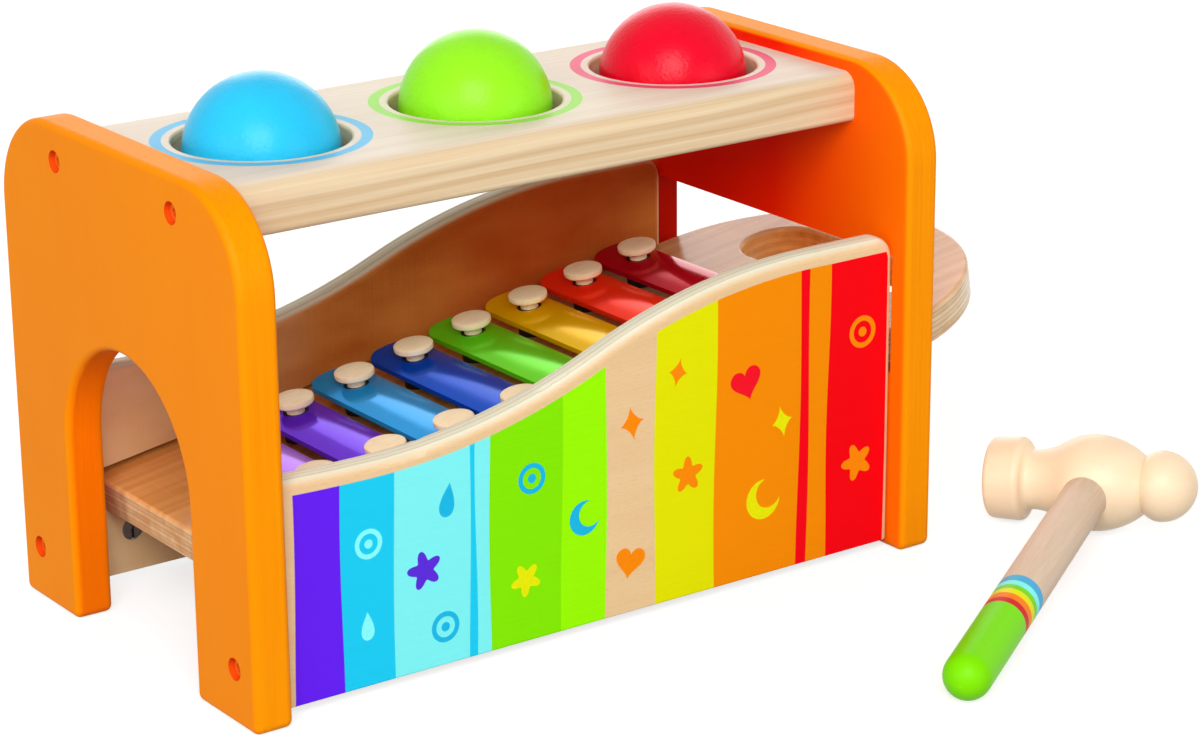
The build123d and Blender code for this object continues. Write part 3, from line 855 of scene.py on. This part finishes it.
def add_figures():
    """Each figure's shape, ink, place from the wall's left end and the floor, size, and turn in degrees."""
    ink_codes = {
        "pale": "86FCFF",
        "blue": "18B8E8",
        "violet": "5A2ADC",
        "yellow": "E8EA00",
        "orange": "FA8A00",
        "red": "F40C24",
    }
    inks = {name: ink(name + "_ink", code) for name, code in ink_codes.items()}
    figures = (
        (ring, "pale", 28.6, 45.0, 4.4, 0),
        (drop, "pale", 27.6, 21.0, 4.2, 0),
        (flower, "violet", 46.5, 33.0, 5.8, 12),
        (drop, "blue", 54.6, 52.0, 5.0, -10),
        (ring, "blue", 53.0, 14.5, 4.6, 0),
        (flower, "yellow", 80.5, 22.0, 5.2, 30),
        (ring, "blue", 83.0, 52.0, 4.6, 0),
        (crescent, "blue", 101.0, 36.0, 5.2, -65),
        (diamond, "orange", 118.0, 61.0, 5.4, 8),
        (heart, "orange", 117.0, 19.0, 5.2, -12),
        (flower, "orange", 138.0, 41.0, 5.6, 0),
        (diamond, "orange", 134.5, 73.0, 4.4, -14),
        (crescent, "yellow", 166.0, 27.0, 6.2, -50),
        (heart, "red", 159.5, 65.0, 5.6, 14),
        (diamond, "yellow", 173.0, 50.0, 5.0, 10),
        (flower, "orange", 202.0, 31.0, 6.0, 20),
        (ring, "orange", 203.5, 72.0, 5.0, 0),
    )
    for number, (shape, ink_name, from_left, height, size, turn) in enumerate(figures, 1):
        place = (wall_low.x + from_left, height)
        add_figure(f"printed_{shape.__name__}_{number}", shape(), place, size, turn, inks[ink_name])


# The surroundings


def shown_share(tree):
    """1 for the rays that show the surroundings, in a mirror or glass too, and 0 for all others."""
    path = tree.nodes.new("ShaderNodeLightPath")
    shown = path.outputs["Is Camera Ray"]
    for ray in ("Is Glossy Ray", "Is Transmission Ray"):
        most = tree.nodes.new("ShaderNodeMath")
        most.operation = "MAXIMUM"
        tree.links.new(shown, most.inputs[0])
        tree.links.new(path.outputs[ray], most.inputs[1])
        shown = most.outputs[0]
    return shown


def floor_paper():
    """Paper that is grey to the light, and lifted to white where it is seen, so that it keeps shadows."""
    paper_level = 0.42
    lift_level = 0.72
    material = bpy.data.materials.new("floor_paper")
    material.use_nodes = True
    tree = material.node_tree
    tree.nodes.clear()
    output = tree.nodes.new("ShaderNodeOutputMaterial")
    paper = tree.nodes.new("ShaderNodeBsdfDiffuse")
    paper.inputs["Color"].default_value = (paper_level, paper_level, paper_level, 1)
    lift = tree.nodes.new("ShaderNodeEmission")
    strength = tree.nodes.new("ShaderNodeMath")
    strength.operation = "MULTIPLY"
    strength.inputs[1].default_value = lift_level
    tree.links.new(shown_share(tree), strength.inputs[0])
    tree.links.new(strength.outputs[0], lift.inputs["Strength"])
    both = tree.nodes.new("ShaderNodeAddShader")
    tree.links.new(paper.outputs[0], both.inputs[0])
    tree.links.new(lift.outputs[0], both.inputs[1])
    tree.links.new(both.outputs[0], output.inputs["Surface"])
    return material


def add_floor():
    """A pale floor under the object, which meets the white backdrop."""
    half_metres = 6.0
    floor_metres = -0.05 * MM
    signs = ((-1, -1), (1, -1), (1, 1), (-1, 1))
    corners = [(x * half_metres, y * half_metres, floor_metres) for x, y in signs]
    mesh = bpy.data.meshes.new("floor")
    mesh.from_pydata(corners, [], [(0, 1, 2, 3)])
    mesh.materials.append(floor_paper())
    floor = bpy.data.objects.new("floor", mesh)
    bpy.context.scene.collection.objects.link(floor)


def add_world():
    """White where it is seen or mirrored, and a dim, slightly warm light on the object."""
    ambient = (0.25, 0.208, 0.168, 1)
    world = bpy.data.worlds.new("studio")
    bpy.context.scene.world = world
    world.use_nodes = True
    tree = world.node_tree
    glow = tree.nodes.new("ShaderNodeMix")
    glow.data_type = "RGBA"
    glow.inputs[MIX_A].default_value = ambient
    glow.inputs[MIX_B].default_value = (1, 1, 1, 1)
    tree.links.new(shown_share(tree), glow.inputs[MIX_SHARE])
    tree.links.new(glow.outputs[MIX_RESULT], tree.nodes["Background"].inputs["Color"])


def add_lamp(name, direction, level, mirrored=True):
    """A square soft lamp that faces the object and lights a surface turned to it to a given level."""
    distance_metres = 2.0
    size_metres = 1.2
    lamp = bpy.data.lights.new(name, "AREA")
    lamp.shape = "SQUARE"
    lamp.size = size_metres
    lamp.energy = level * (pi * distance_metres) ** 2
    lamp_object = bpy.data.objects.new(name, lamp)
    bpy.context.scene.collection.objects.link(lamp_object)
    towards = Vector(direction).normalized()
    lamp_object.location = (cad_low + cad_high) / 2 + towards * distance_metres
    lamp_object.rotation_mode = "QUATERNION"
    lamp_object.rotation_quaternion = towards.to_track_quat("Z", "Y")
    lamp_object.visible_glossy = mirrored


def add_lamps():
    """A main lamp above the camera and weaker ones all round, two of which don't show in any gloss."""
    add_lamp("key", (-0.5, -0.66, 0.55), 0.92)
    add_lamp("left_fill", (-0.95, -0.15, 0.2), 0.26)
    add_lamp("right_fill", (0.35, -0.93, 0.1), 0.16)
    add_lamp("rear_sheen", (0.5, 0.8, 0.3), 0.2)
    add_lamp("rear_fill", (0.1, 0.9, 0.35), 0.28, mirrored=False)
    add_lamp("side_fill", (0.95, 0.15, 0.25), 0.32, mirrored=False)


def add_camera():
    """The photograph's viewpoint, in front of the ball arch and to its left. Its angles are in radians."""
    lens = 103.12
    sensor_width = 36.0
    place = Vector((-573.917, -759.941, 386.274))
    heading = 0.62236
    tilt = -0.32099
    roll = -0.00821
    data = bpy.data.cameras.new("camera")
    data.lens = lens
    data.sensor_width = sensor_width
    camera = bpy.data.objects.new("camera", data)
    bpy.context.scene.collection.objects.link(camera)
    turn = Matrix.Rotation(-heading, 4, "Z") @ Matrix.Rotation(pi / 2 + tilt, 4, "X")
    camera.matrix_world = Matrix.Translation(place * MM) @ turn @ Matrix.Rotation(roll, 4, "Z")
    bpy.context.scene.camera = camera


dress_bench()
dress_xylophone()
dress_balls_and_hammer()
add_figures()
add_floor()
add_world()
add_lamps()
add_camera()
bpy.context.scene.view_settings.view_transform = "Standard"
